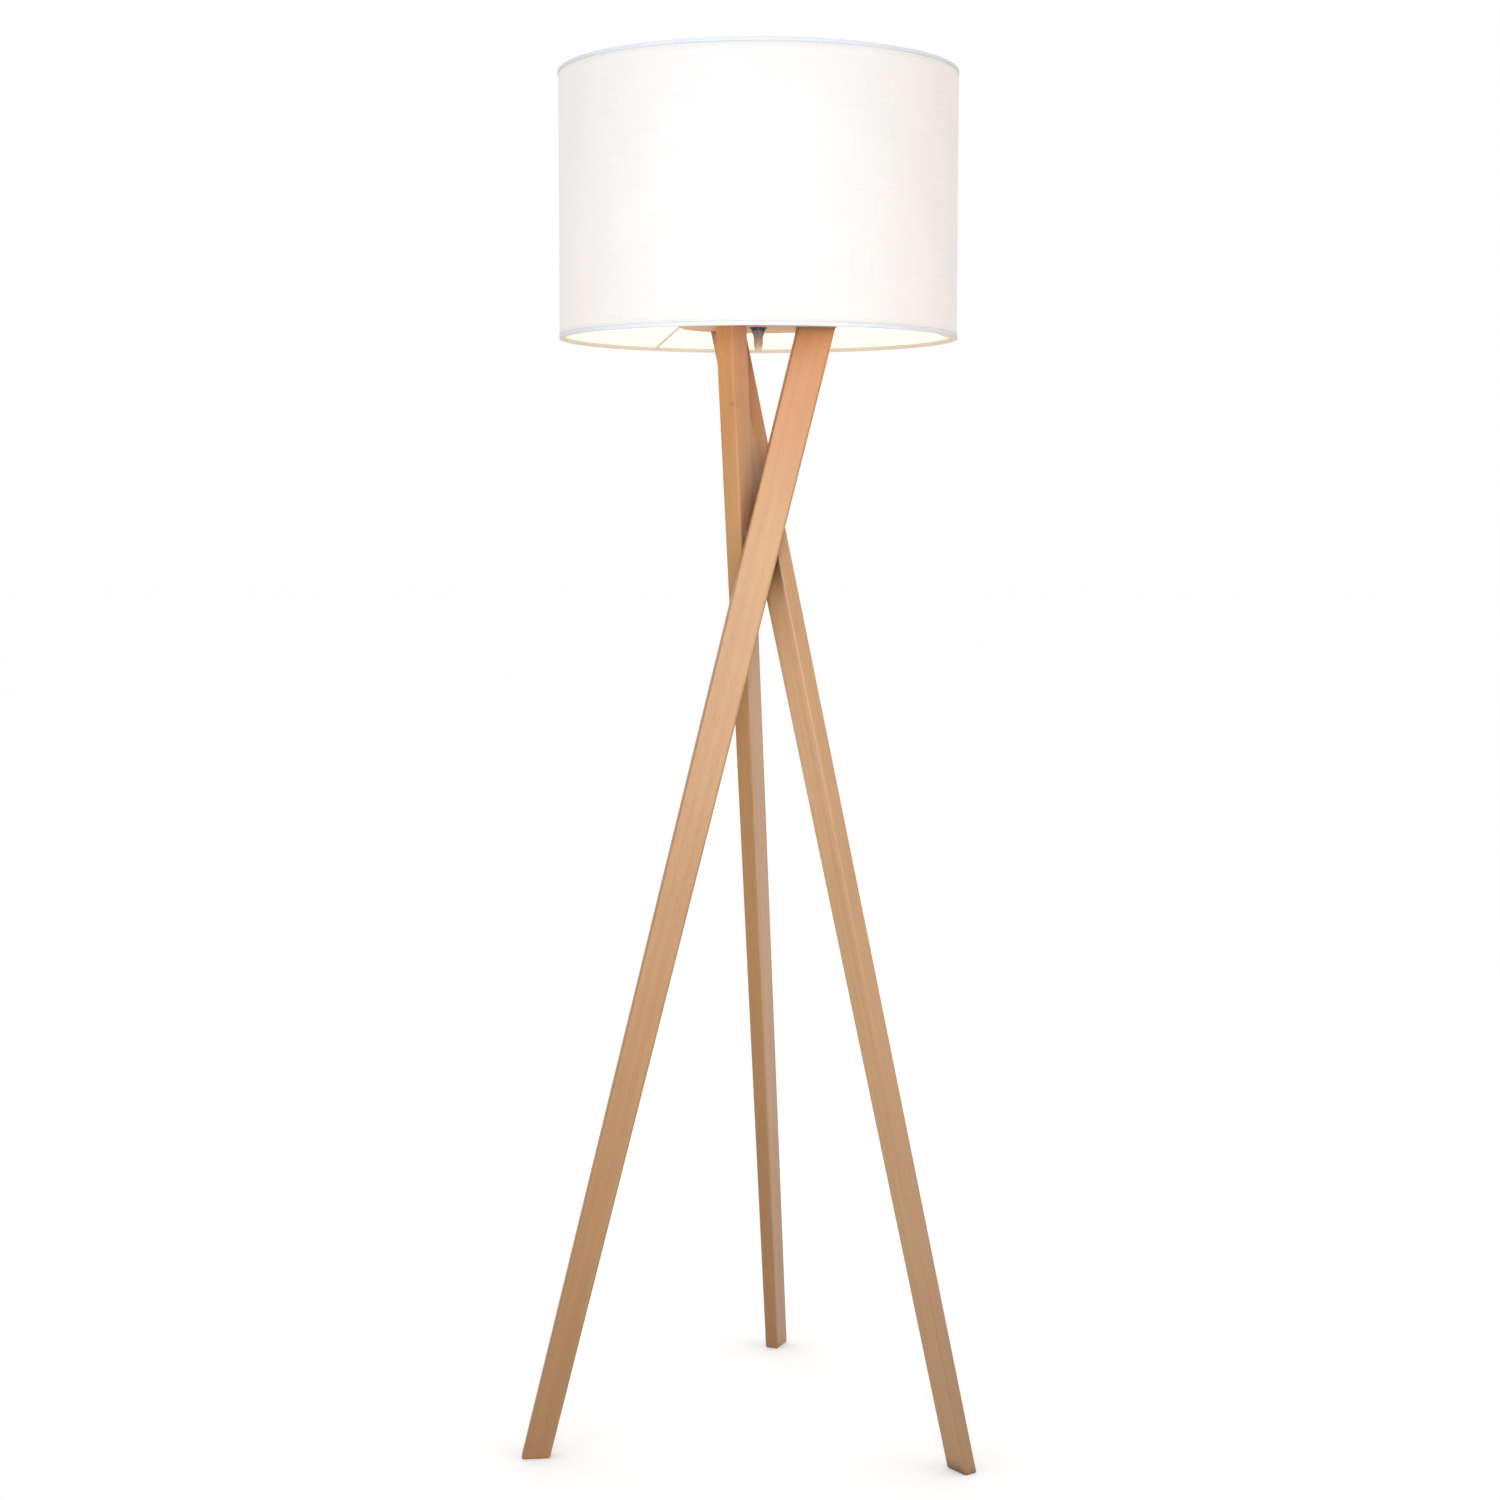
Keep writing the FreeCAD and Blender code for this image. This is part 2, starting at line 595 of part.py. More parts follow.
def bulb_cap():
    """The thin metal screw cap. Its inside follows the ridges of its outside."""
    bottom = CAP_BOTTOM + 1.2
    outside = thread_outline(CAP_RADIUS, CAP_ROOT, CAP_PITCH, bottom, CAP_TURNS)
    inside = [(r - CAP_WALL, z) for r, z in outside]
    return lathe(
        [(CAP_ROOT - 0.9, CAP_BOTTOM), (CAP_ROOT - 0.4, CAP_BOTTOM)] + outside
        + [(CAP_RADIUS - 0.1, CAP_TOP - 2.5), (CAP_RADIUS - 0.1, CAP_TOP), (CAP_ROOT, CAP_TOP)]
        + [(CAP_ROOT, CAP_TOP - 2.5)] + inside[::-1] + [(CAP_ROOT - 0.9, CAP_BOTTOM + 0.9)])


def housing_outline():
    """The outside of the bulb's white housing, from the cap up."""
    return [(CAP_RADIUS + 0.4, CAP_TOP), (CAP_RADIUS + 1.0, CAP_TOP + 3), (BULB_RADIUS - 2.2, CAP_TOP + 12),
            (BULB_RADIUS - 0.6, CAP_TOP + 19), (BULB_RADIUS, HOUSING_TOP - 3), (BULB_RADIUS, HOUSING_TOP)]


def bulb_housing():
    outside = housing_outline()
    inside = [(r - HOUSING_WALL, z) for r, z in outside]
    foot = [(CAP_ROOT - HOUSING_WALL, CAP_TOP - 3), (CAP_ROOT - 0.4, CAP_TOP - 3), (CAP_ROOT - 0.4, CAP_TOP)]
    return lathe(foot + outside + inside[:0:-1] + [(CAP_ROOT - HOUSING_WALL, CAP_TOP)])


def bulb_heat_sink():
    """An aluminium cup pressed in the housing's wide end, closed at the top to carry the LED board."""
    top = BOARD_Z
    r = BULB_RADIUS - HOUSING_WALL - 0.1
    return lathe([(r - 2.2, top - 9), (r - 1.2, top - 9), (r, top - 2), (r, top), (0, top), (0, top - 1.2),
                  (r - 1.3, top - 1.2), (r - 1.3, top - 2.5)])


def bulb_driver_board():
    """The small circuit board that stands in the cap and housing."""
    corner = Vector(-DRIVER_WIDTH / 2, -DRIVER_THICKNESS / 2, DRIVER_BOTTOM)
    return Part.makeBox(DRIVER_WIDTH, DRIVER_THICKNESS, DRIVER_TOP - DRIVER_BOTTOM, corner)


def bulb_led_board():
    return Part.makeCylinder(BOARD_RADIUS, BOARD_THICKNESS, Vector(0, 0, BOARD_Z))


def bulb_leds():
    """The LED chips, in a circle on their board."""
    length, width, height = LED_SIZE
    chips = []
    for i in range(LED_COUNT):
        chip = Part.makeBox(length, width, height, Vector(-length / 2, -width / 2, 0))
        chip.translate(Vector(BOARD_RADIUS - LED_INSET, 0, BOARD_Z + BOARD_THICKNESS))
        chip.rotate(ORIGIN, UP, i * 360.0 / LED_COUNT)
        chips.append(chip)
    return group(chips)


def dome_solid(radius, bottom, top):
    """A cylinder that ends in a half ball."""
    body = Part.makeCylinder(radius, top - radius - bottom, Vector(0, 0, bottom))
    ball = Part.makeSphere(radius, Vector(0, 0, top - radius), UP, 0, 90, 360)
    return body.fuse(ball).removeSplitter()


def bulb_dome():
    """The opal cover, open at the housing."""
    outside = dome_solid(BULB_RADIUS, HOUSING_TOP, DOME_TOP)
    return outside.cut(dome_solid(BULB_RADIUS - DOME_WALL, HOUSING_TOP, DOME_TOP - DOME_WALL))


def all_parts():
    """Every node's name and shape."""
    pins = [dowel_screw(i) for i in range(LEG_COUNT)]
    places = [leg_screw_places(i) for i in range(LEG_COUNT)]
    bodies = [[leg_screw_body(p) for p in pair] for pair in places]
    parts = {}
    for i in range(LEG_COUNT):
        parts[f"leg_{i + 1}"] = leg(i, [pins[i], pins[i - 1]] + bodies[i])
    parts["waist_dowel_screws"] = group(pins)
    parts["leg_screws"] = group([leg_screw(p) for pair in places for p in pair])
    parts["top_plate"] = top_plate([b for pair in bodies for b in pair])
    parts["stem_tube"] = tube(STEM_RADIUS, STEM_BORE, STEM_BOTTOM, STEM_TOP)
    parts["lower_washer"] = washer(PLATE_BOTTOM - WASHER_THICKNESS)
    parts["lower_nut"] = hexagon_nut(PLATE_BOTTOM - WASHER_THICKNESS - NUT_HEIGHT)
    parts["upper_washer"] = washer(PLATE_TOP)
    parts["upper_nut"] = hexagon_nut(PLATE_TOP + WASHER_THICKNESS)
    parts["cord_grip"] = cord_grip()
    parts["cord_grip_screw"] = cord_grip_screw()
    parts["holder_cap"] = holder_cap()
    parts["holder_shell"] = holder_shell()
    parts["holder_insert"] = holder_insert()
    parts["holder_sleeve"] = holder_sleeve()
    parts["holder_centre_contact"] = holder_centre_contact()
    parts["terminal_screws"] = group([terminal_screw(side) for side in (-1, 1)])
    parts["lead_live"] = lead(1)
    parts["lead_neutral"] = lead(-1)
    parts["clamp_ring"] = clamp_ring()
    parts["shade_hub"] = shade_hub()
    parts["shade_arms"] = shade_arms()
    parts["shade_ring_bottom"] = shade_ring(RIM_Z + ring_inset())
    parts["shade_ring_top"] = shade_ring(RIM_Z + SHADE_HEIGHT - ring_inset())
    parts["shade_liner"] = shade_wall(SHADE_RADIUS - TRIM_THICKNESS - FABRIC_THICKNESS, LINER_THICKNESS)
    parts["shade_fabric"] = shade_wall(SHADE_RADIUS - TRIM_THICKNESS, FABRIC_THICKNESS)
    parts["shade_trim_bottom"] = shade_trim(RIM_Z, 1).cut(parts["shade_arms"])
    parts["shade_trim_top"] = shade_trim(RIM_Z + SHADE_HEIGHT, -1)
    parts["bulb_tip"] = bulb_tip()
    parts["bulb_insulator"] = bulb_insulator()
    parts["bulb_cap"] = bulb_cap()
    parts["bulb_housing"] = bulb_housing()
    parts["bulb_heat_sink"] = bulb_heat_sink()
    parts["bulb_driver_board"] = bulb_driver_board()
    parts["bulb_led_board"] = bulb_led_board()
    parts["bulb_leds"] = bulb_leds()
    parts["bulb_dome"] = bulb_dome()
    return parts


os.makedirs("parts", exist_ok=True)
for name, shape in all_parts().items():
    shape.exportStep(f"parts/{name}.step")
    print(f"{name:24s}{shape.Volume:12.1f} mm3 in {len(shape.Solids)} solid(s), valid {shape.isValid()}")
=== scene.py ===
import bpy
import math
import random
from mathutils import Matrix, Vector


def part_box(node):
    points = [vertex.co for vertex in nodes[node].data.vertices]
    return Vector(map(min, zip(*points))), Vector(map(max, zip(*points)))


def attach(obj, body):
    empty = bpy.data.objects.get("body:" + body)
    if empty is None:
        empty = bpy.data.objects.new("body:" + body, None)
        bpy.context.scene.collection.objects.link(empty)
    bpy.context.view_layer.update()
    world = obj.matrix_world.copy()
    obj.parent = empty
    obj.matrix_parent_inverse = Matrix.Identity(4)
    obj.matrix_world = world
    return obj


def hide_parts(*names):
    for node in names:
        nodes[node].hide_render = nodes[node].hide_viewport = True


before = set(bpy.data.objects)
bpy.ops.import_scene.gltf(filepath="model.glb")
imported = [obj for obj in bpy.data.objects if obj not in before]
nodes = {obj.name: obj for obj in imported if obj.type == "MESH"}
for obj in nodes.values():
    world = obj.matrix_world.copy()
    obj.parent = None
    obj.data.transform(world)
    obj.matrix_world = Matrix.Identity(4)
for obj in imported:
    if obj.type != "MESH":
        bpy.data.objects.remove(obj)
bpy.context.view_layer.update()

UP = Vector((0, 0, 1))
MM = 0.001

# ---- camera: straight in front and a little above the waist, looking slightly down ----

CAMERA_DISTANCE = 2.919
CAMERA_HEIGHT = 1.0548
CAMERA_PITCH = 0.0896           # radians below the horizon
CAMERA_ROLL = -0.0004
CAMERA_LENS = 61.16             # millimetres on a 36 mm sensor
CAMERA_SHIFT = -0.0055


def make_camera():
    data = bpy.data.cameras.new("camera")
    data.lens = CAMERA_LENS
    data.sensor_width = 36.0
    data.shift_x = CAMERA_SHIFT
    data.clip_end = 100.0
    camera = bpy.data.objects.new("camera", data)
    camera.location = (0, -CAMERA_DISTANCE, CAMERA_HEIGHT)
    camera.rotation_euler = (math.pi / 2 - CAMERA_PITCH, CAMERA_ROLL, 0)
    bpy.context.scene.collection.objects.link(camera)
    bpy.context.scene.camera = camera


# ---- node helpers ----

class Graph:
    """A material with its nodes, and short ways to add and join them."""

    def __init__(self, name, roughness=0.5):
        self.material = bpy.data.materials.new(name)
        self.material.use_nodes = True
        self.tree = self.material.node_tree
        self.shader = self.tree.nodes["Principled BSDF"]
        self.set("Roughness", roughness)
        self.coordinates = self.tree.nodes.new("ShaderNodeTexCoord")

    def set(self, socket, value):
        self.shader.inputs[socket].default_value = value

    def link(self, source, target):
        self.tree.links.new(source, target)

    def put(self, target, value):
        """Gives an input either a number, a colour or another node's output."""
        if isinstance(value, bpy.types.NodeSocket):
            self.link(value, target)
        else:
            target.default_value = value

    def mapped(self, source, scale=(1, 1, 1), rotation=(0, 0, 0), location=(0, 0, 0)):
        node = self.tree.nodes.new("ShaderNodeMapping")
        node.inputs["Scale"].default_value = scale
        node.inputs["Rotation"].default_value = rotation
        node.inputs["Location"].default_value = location
        self.link(source, node.inputs["Vector"])
        return node.outputs["Vector"]

    def noise(self, vector, scale, detail=2.0, roughness=0.5, distortion=0.0):
        node = self.tree.nodes.new("ShaderNodeTexNoise")
        self.link(vector, node.inputs["Vector"])
        node.inputs["Scale"].default_value = scale
        node.inputs["Detail"].default_value = detail
        node.inputs["Roughness"].default_value = roughness
        node.inputs["Distortion"].default_value = distortion
        return node.outputs["Fac"]

    def wave(self, vector, scale, direction, distortion):
        node = self.tree.nodes.new("ShaderNodeTexWave")
        node.wave_type = "BANDS"
        node.bands_direction = direction
        self.link(vector, node.inputs["Vector"])
        node.inputs["Scale"].default_value = scale
        node.inputs["Distortion"].default_value = distortion
        node.inputs["Detail"].default_value = 1.0
        return node.outputs["Fac"]

    def ramp(self, factor, stops):
        """A colour ramp. Each stop is (position, colour), the colour as three numbers or as one for grey."""
        node = self.tree.nodes.new("ShaderNodeValToRGB")
        self.link(factor, node.inputs["Fac"])
        elements = node.color_ramp.elements
        while len(elements) < len(stops):
            elements.new(0.5)
        for element, (position, colour) in zip(elements, stops):
            grey = isinstance(colour, (int, float))
            element.position = position
            element.color = (colour, colour, colour, 1) if grey else (*colour, 1)
        return node.outputs["Color"]

    def mix(self, factor, a, b, blend="MIX"):
        node = self.tree.nodes.new("ShaderNodeMix")
        node.data_type = "RGBA"
        node.blend_type = blend
        self.put(node.inputs["Factor"], factor)
        for socket, value in ((node.inputs[6], a), (node.inputs[7], b)):
            self.put(socket, (*value, 1) if isinstance(value, tuple) and len(value) == 3 else value)
        return node.outputs[2]

    def times(self, tone, by):
        """One colour darkened or tinted by another."""
        return self.mix(1.0, tone, by, "MULTIPLY")

    def math(self, operation, a, b=0.0):
        node = self.tree.nodes.new("ShaderNodeMath")
        node.operation = operation
        self.put(node.inputs[0], a)
        self.put(node.inputs[1], b)
        return node.outputs[0]

    def vector_number(self, operation, vector, other=None):
        """A vector operation that gives one number."""
        node = self.tree.nodes.new("ShaderNodeVectorMath")
        node.operation = operation
        self.link(vector, node.inputs[0])
        if other is not None:
            node.inputs[1].default_value = other
        return node.outputs["Value"]

    def height(self):
        """A point's height above the floor, with the lamp at rest."""
        node = self.tree.nodes.new("ShaderNodeSeparateXYZ")
        self.link(self.coordinates.outputs["Object"], node.inputs["Vector"])
        return node.outputs["Z"]

    def bump(self, height, strength, distance):
        node = self.tree.nodes.new("ShaderNodeBump")
        node.inputs["Strength"].default_value = strength
        node.inputs["Distance"].default_value = distance
        self.link(height, node.inputs["Height"])
        existing = self.shader.inputs["Normal"].links
        if existing:
            self.link(existing[0].from_socket, node.inputs["Normal"])
        self.link(node.outputs["Normal"], self.shader.inputs["Normal"])

    def colour(self, output):
        self.link(output, self.shader.inputs["Base Color"])

    def rough(self, output):
        self.link(output, self.shader.inputs["Roughness"])

    def glow(self, output, strength):
        self.link(output, self.shader.inputs["Emission Color"])
        self.set("Emission Strength", strength)


def assign(piece, material):
    piece.data.materials.clear()
    piece.data.materials.append(material)


# ---- wood ----

def board_axes(node):
    """A leg's own directions across its wide side, across its thin side and along it, and its middle."""
    points = [v.co for v in node.data.vertices]
    low, high = min(p.z for p in points), max(p.z for p in points)
    ends = []
    for level in (low, high):
        near = [p for p in points if abs(p.z - level) < 0.1 * MM]
        least = Vector([min(p[i] for p in near) for i in range(3)])
        most = Vector([max(p[i] for p in near) for i in range(3)])
        ends.append((least + most) / 2)
    middle = (ends[0] + ends[1]) / 2
    along = (ends[1] - ends[0]).normalized()
    across = along.orthogonal().normalized()

    def reach(direction):
        return max(abs((p - middle).dot(direction)) for p in points)

    turns = [Matrix.Rotation(math.radians(d), 3, along) @ across for d in range(180)]
    thin = min(turns, key=reach)
    return thin.cross(along).normalized(), thin, along, middle


# How fine each feature is, across the wide side, across the thin side and along the board, in repeats a metre
BANDS = (95, 40, 1.3)
FIGURE = (28, 12, 0.9)
FIBRES = (1100, 1100, 16)
FLECKS = (520, 1000, 110)
BLOTCHES = (14, 14, 4)
RING_SCALE = 27.0
RINGS = (1, 0.35, 0.02)                 # shares of RING_SCALE in the same three directions
KNOT_SQUEEZE = (0.4, 1.0, 1.3)          # a knot is longest across the wide side
KNOT_TONE = (0.16, 0.075, 0.033)
GAP_REACH = 0.025                       # metres from another piece within which the shadow shows
GAP_SAMPLES = 8


def wood(name, axes, tones, edge, seed, knots=(), painted_light_by_height=None, gloss=1.0, shadow=None):
    """Oiled beech with its grain along a board.

    axes: the directions across its wide side, across its thin side and along it, and its middle
    tones: the dark, middle and light colours
    edge: a tint for the thin sides, partly the wood's darker edge grain and partly painted shade
    seed: moves the grain, so that no two boards are alike
    knots: points where a small knot shows
    painted_light_by_height: painted light and shade by height, from the floor to the top of the legs
    gloss: how much of the oil's shine shows
    shadow: a tint for what lies close to another piece, where the legs cross
    """
    dark, main, light = tones
    wide, thin, along, middle = axes
    g = Graph(name)
    turn = Matrix((wide, thin, along))
    shift = Vector((seed, seed * 1.7, 0))
    board = g.mapped(g.coordinates.outputs["Object"], rotation=turn.to_euler(),
                     location=shift - turn @ middle)
    bands = g.noise(g.mapped(board, scale=BANDS), 1.0, 2.0, 0.5, 0.3)
    figure = g.noise(g.mapped(board, scale=FIGURE), 1.0, 3.0, 0.55, 0.8)
    rings = g.wave(g.mapped(board, scale=RINGS), RING_SCALE, "X", 5.0)
    fibres = g.noise(g.mapped(board, scale=FIBRES), 1.0, 2.0, 0.6)
    flecks = g.noise(g.mapped(board, scale=FLECKS), 1.0, 0.0)
    blotch = g.noise(g.mapped(board, scale=BLOTCHES), 1.0, 2.0)
    grain = g.mix(0.14, g.mix(0.5, figure, bands), rings)
    tone = g.ramp(grain, [(0.22, dark), (0.50, main), (0.80, light)])
    tone = g.times(tone, g.ramp(fibres, [(0.3, 0.90), (0.7, 1.05)]))
    tone = g.times(tone, g.ramp(flecks, [(0.25, 0.90), (0.33, 1.0)]))
    tone = g.times(tone, g.ramp(blotch, [(0.3, (0.95, 0.93, 0.91)), (0.7, (1.04, 1.04, 1.04))]))
    for knot in knots:
        inside = turn @ (Vector(knot) - middle) + shift
        offset = g.mapped(g.mapped(board, location=-inside), scale=KNOT_SQUEEZE)
        distance = g.vector_number("LENGTH", offset)
        near = g.ramp(distance, [(0.0, 0.55), (0.0014, 0.42), (0.0030, 0.12), (0.0060, 0.0)])
        tone = g.mix(near, tone, KNOT_TONE)
    # The thin sides are darkened: partly the wood's own edge grain, partly painted shade where they turn from
    # the light.
    facing = g.vector_number("DOT_PRODUCT", g.coordinates.outputs["Normal"], wide)
    narrow = g.math("ABSOLUTE", facing)
    tone = g.times(tone, g.ramp(narrow, [(0.3, 1.0), (0.9, edge)]))
    # Painted light and shade: darker towards the floor, warmer and browner under the lit shade.
    if painted_light_by_height:
        share = g.math("DIVIDE", g.height(), LEG_TOP)
        tone = g.times(tone, g.ramp(share, painted_light_by_height))
    if shadow:
        gap = g.tree.nodes.new("ShaderNodeAmbientOcclusion")
        gap.inputs["Distance"].default_value = GAP_REACH
        gap.samples = GAP_SAMPLES
        tone = g.times(tone, g.ramp(gap.outputs["AO"], [(0.45, shadow), (0.78, 1.0)]))
    g.colour(tone)
    g.rough(g.ramp(fibres, [(0.2, 0.38), (0.8, 0.58)]))
    g.set("Coat Weight", 0.10 * gloss)
    g.set("Specular IOR Level", 0.5 * gloss)
    g.set("Coat Roughness", 0.35)
    g.bump(fibres, 0.25, 0.0002)
    g.bump(flecks, 0.2, 0.0002)
    return g.material


# ---- plain parts ----

TURNING_MARKS = (300, 300, 2500)        # repeats in a metre, closest together up the axis
MARK_DEPTH = 0.0001

# The gland's tints by height, from the tip of its nose to its top
GLAND_TONES = [(0.05, (0.74, 0.57, 0.43)), (0.23, (0.58, 0.35, 0.25)), (0.44, (0.45, 0.285, 0.215)),
               (0.66, (0.32, 0.235, 0.195)), (0.87, (0.20, 0.18, 0.17))]


def metal(name, colour, roughness, metallic=1.0):
    """Worked or painted metal: fine turning marks and a little tarnish."""
    g = Graph(name)
    g.set("Metallic", metallic)
    space = g.coordinates.outputs["Object"]
    marks = g.noise(g.mapped(space, scale=TURNING_MARKS), 1.0, 2.0)
    tarnish = g.noise(space, 180.0, 3.0)
    dark = tuple(c * 0.72 for c in colour)
    g.colour(g.mix(g.ramp(tarnish, [(0.35, 0.0), (0.75, 1.0)]), colour, dark))
    g.rough(g.ramp(marks, [(0.3, roughness * 0.8), (0.7, roughness * 1.35)]))
    g.bump(marks, 0.15, MARK_DEPTH)
    return g.material


def moulded(name, colour, roughness, grain=0.1):
    """Moulded plastic or ceramic: a fine even texture and faint clouding."""
    g = Graph(name)
    space = g.coordinates.outputs["Object"]
    skin = g.noise(space, 2200.0, 2.0)
    cloud = g.noise(space, 60.0, 2.0)
    shade = tuple(c * 0.93 for c in colour)
    g.colour(g.mix(g.ramp(cloud, [(0.3, 0.0), (0.7, 1.0)]), colour, shade))
    g.rough(g.ramp(cloud, [(0.3, roughness * 0.9), (0.7, roughness * 1.15)]))
    g.bump(skin, grain, 0.00008)
    return g.material


def gland_material():
    """The gland's dull grey metal, turning by height to a warm beige at the tip of its nose."""
    low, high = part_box("cord_grip")
    g = Graph("grip_metal", 0.5)
    share = g.math("DIVIDE", g.math("SUBTRACT", g.height(), low.z), high.z - low.z)
    marks = g.noise(g.mapped(g.coordinates.outputs["Object"], scale=TURNING_MARKS), 1.0, 2.0)
    g.colour(g.times(g.ramp(share, GLAND_TONES), g.ramp(marks, [(0.3, 0.85), (0.7, 1.1)])))
    g.bump(marks, 0.15, MARK_DEPTH)
    return g.material


def opal_material():
    """The bulb's frosted dome, lit from inside."""
    g = Graph("bulb_opal", 0.3)
    frost = g.noise(g.coordinates.outputs["Object"], 140.0, 2.0)
    g.colour(g.ramp(frost, [(0.3, 0.30), (0.7, 0.33)]))
    g.glow(g.ramp(frost, [(0.3, (0.97, 0.78, 0.54)), (0.7, (1.0, 0.81, 0.57))]), 0.62)
    return g.material


# ---- turned and rolled pieces ----

def new_piece(name, vertices, faces, uvs=None):
    """A smooth mesh object. uvs gives one (u, v) for each vertex of each face, in the faces' order."""
    mesh = bpy.data.meshes.new(name)
    mesh.from_pydata(vertices, [], faces)
    if uvs:
        layer = mesh.uv_layers.new(name="cloth")
        flat = [c for face in uvs for uv in face for c in uv]
        layer.data.foreach_set("uv", flat)
    mesh.polygons.foreach_set("use_smooth", [True] * len(mesh.polygons))
    mesh.update()
    piece = bpy.data.objects.new(name, mesh)
    bpy.context.scene.collection.objects.link(piece)
    return piece


def swept(name, section_at, count, columns, uv_at, closed=True):
    """A tube swept round the lamp's axis in a number of columns.

    section_at(i): the closed outline at column i, as count points of (radius, height)
    uv_at(i): that column's angle, its u, and a v for each point of the outline and for the first one again
    """
    vertices, faces, uvs = [], [], []
    for i in range(columns):
        angle = uv_at(i)[0]
        for radius, height in section_at(i):
            vertices.append((radius * math.cos(angle), radius * math.sin(angle), height))
    width = uv_at(1)[1] - uv_at(0)[1]
    for i in range(columns if closed else columns - 1):
        j = (i + 1) % columns
        _, u, vs = uv_at(i)
        for k in range(count):
            m = (k + 1) % count
            faces.append((i * count + k, j * count + k, j * count + m, i * count + m))
            uvs.append(((u, vs[k]), (u + width, vs[k]), (u + width, vs[k + 1]), (u, vs[k + 1])))
    if not closed:
        last = (columns - 1) * count
        faces.append(tuple(range(count))[::-1])
        faces.append(tuple(last + k for k in range(count)))
        uvs += [[(0, 0)] * count] * 2
    return new_piece(name, vertices, faces, uvs)


def wander(seed, waves, size):
    """A smooth closed random curve round the shade: a sum of a few waves. Gives a function of the angle."""
    source = random.Random(seed)
    terms = [(n, source.uniform(0.4, 1.0) * size / len(waves), source.uniform(0, 2 * math.pi))
             for n in waves]
    return lambda angle: sum(a * math.sin(n * angle + p) for n, a, p in terms)


SHADE_SEAM = math.radians(127.0)        # the lap of the cover and of the lining, at the back
SEAM_WIDTH = 0.012
WALL_COLUMNS = 361
WALL_SEED = 3
WALL_SWAY = 0.00022                     # how far slow waves move the wall in and out
WALL_RIPPLE = 0.00006                   # how far quick ones do
WALL_HOLLOW = 0.00025                   # how far the wall is drawn in, halfway between the rings
LAP_RUN = 1.3                           # the rise over the lap is this many laps long


def rolled_wall(name, node, thickness, rows, lap_rise):
    """A sheet rolled into the shade's wall, where the CAD node is, and lapped over itself at the back."""
    low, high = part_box(node)
    outer = high.x
    inner = outer - thickness
    lap = SEAM_WIDTH / outer
    sway = wander(WALL_SEED, (2, 3, 5, 7), WALL_SWAY)
    ripple = wander(WALL_SEED + 1, (23, 31, 41), WALL_RIPPLE)
    turn = 2 * math.pi + lap
    heights = [low.z + (high.z - low.z) * k / rows for k in range(rows + 1)]
    outline_vs = heights + heights[::-1] + heights[:1]

    def angle_at(i):
        return SHADE_SEAM + turn * i / (WALL_COLUMNS - 1)

    def lift(i):
        """How far the sheet rises to pass over its own start."""
        past = turn * i / (WALL_COLUMNS - 1) - (2 * math.pi - LAP_RUN * lap)
        share = min(1.0, max(0.0, past / (LAP_RUN * lap)))
        return lap_rise * share * share * (3 - 2 * share)

    def section(i):
        angle = angle_at(i)
        shift = sway(angle) + ripple(angle) - WALL_HOLLOW
        profile = [(lift(i) + math.sin(math.pi * k / rows) * shift, z) for k, z in enumerate(heights)]
        outside = [(outer + rise, z) for rise, z in profile]
        inside = [(inner + rise, z) for rise, z in reversed(profile)]
        return outside + inside

    def uv_at(i):
        return angle_at(i), angle_at(i) * outer, outline_vs

    return swept(name, section, 2 * len(heights), WALL_COLUMNS, uv_at, closed=False)


TAPE_COLUMNS = 480
TAPE_THICKNESS = 0.0004
TAPE_UNROLL = 0.001                     # the weave's v steps by this between two points of the fold
RING_CLEARANCE = 0.00005
HEM_SWAY = 0.00045                      # how uneven the tape's edge is
FOLD_SWELL = 0.0001
FOLD_HEIGHT = 0.0042                    # how far the fold reaches inside the shade
ARM_CUT_HEIGHT = 0.0009                 # how far it reaches where an arm leaves the ring
ARM_CUT_ANGLE = 0.012                   # radians, half of that cut's width


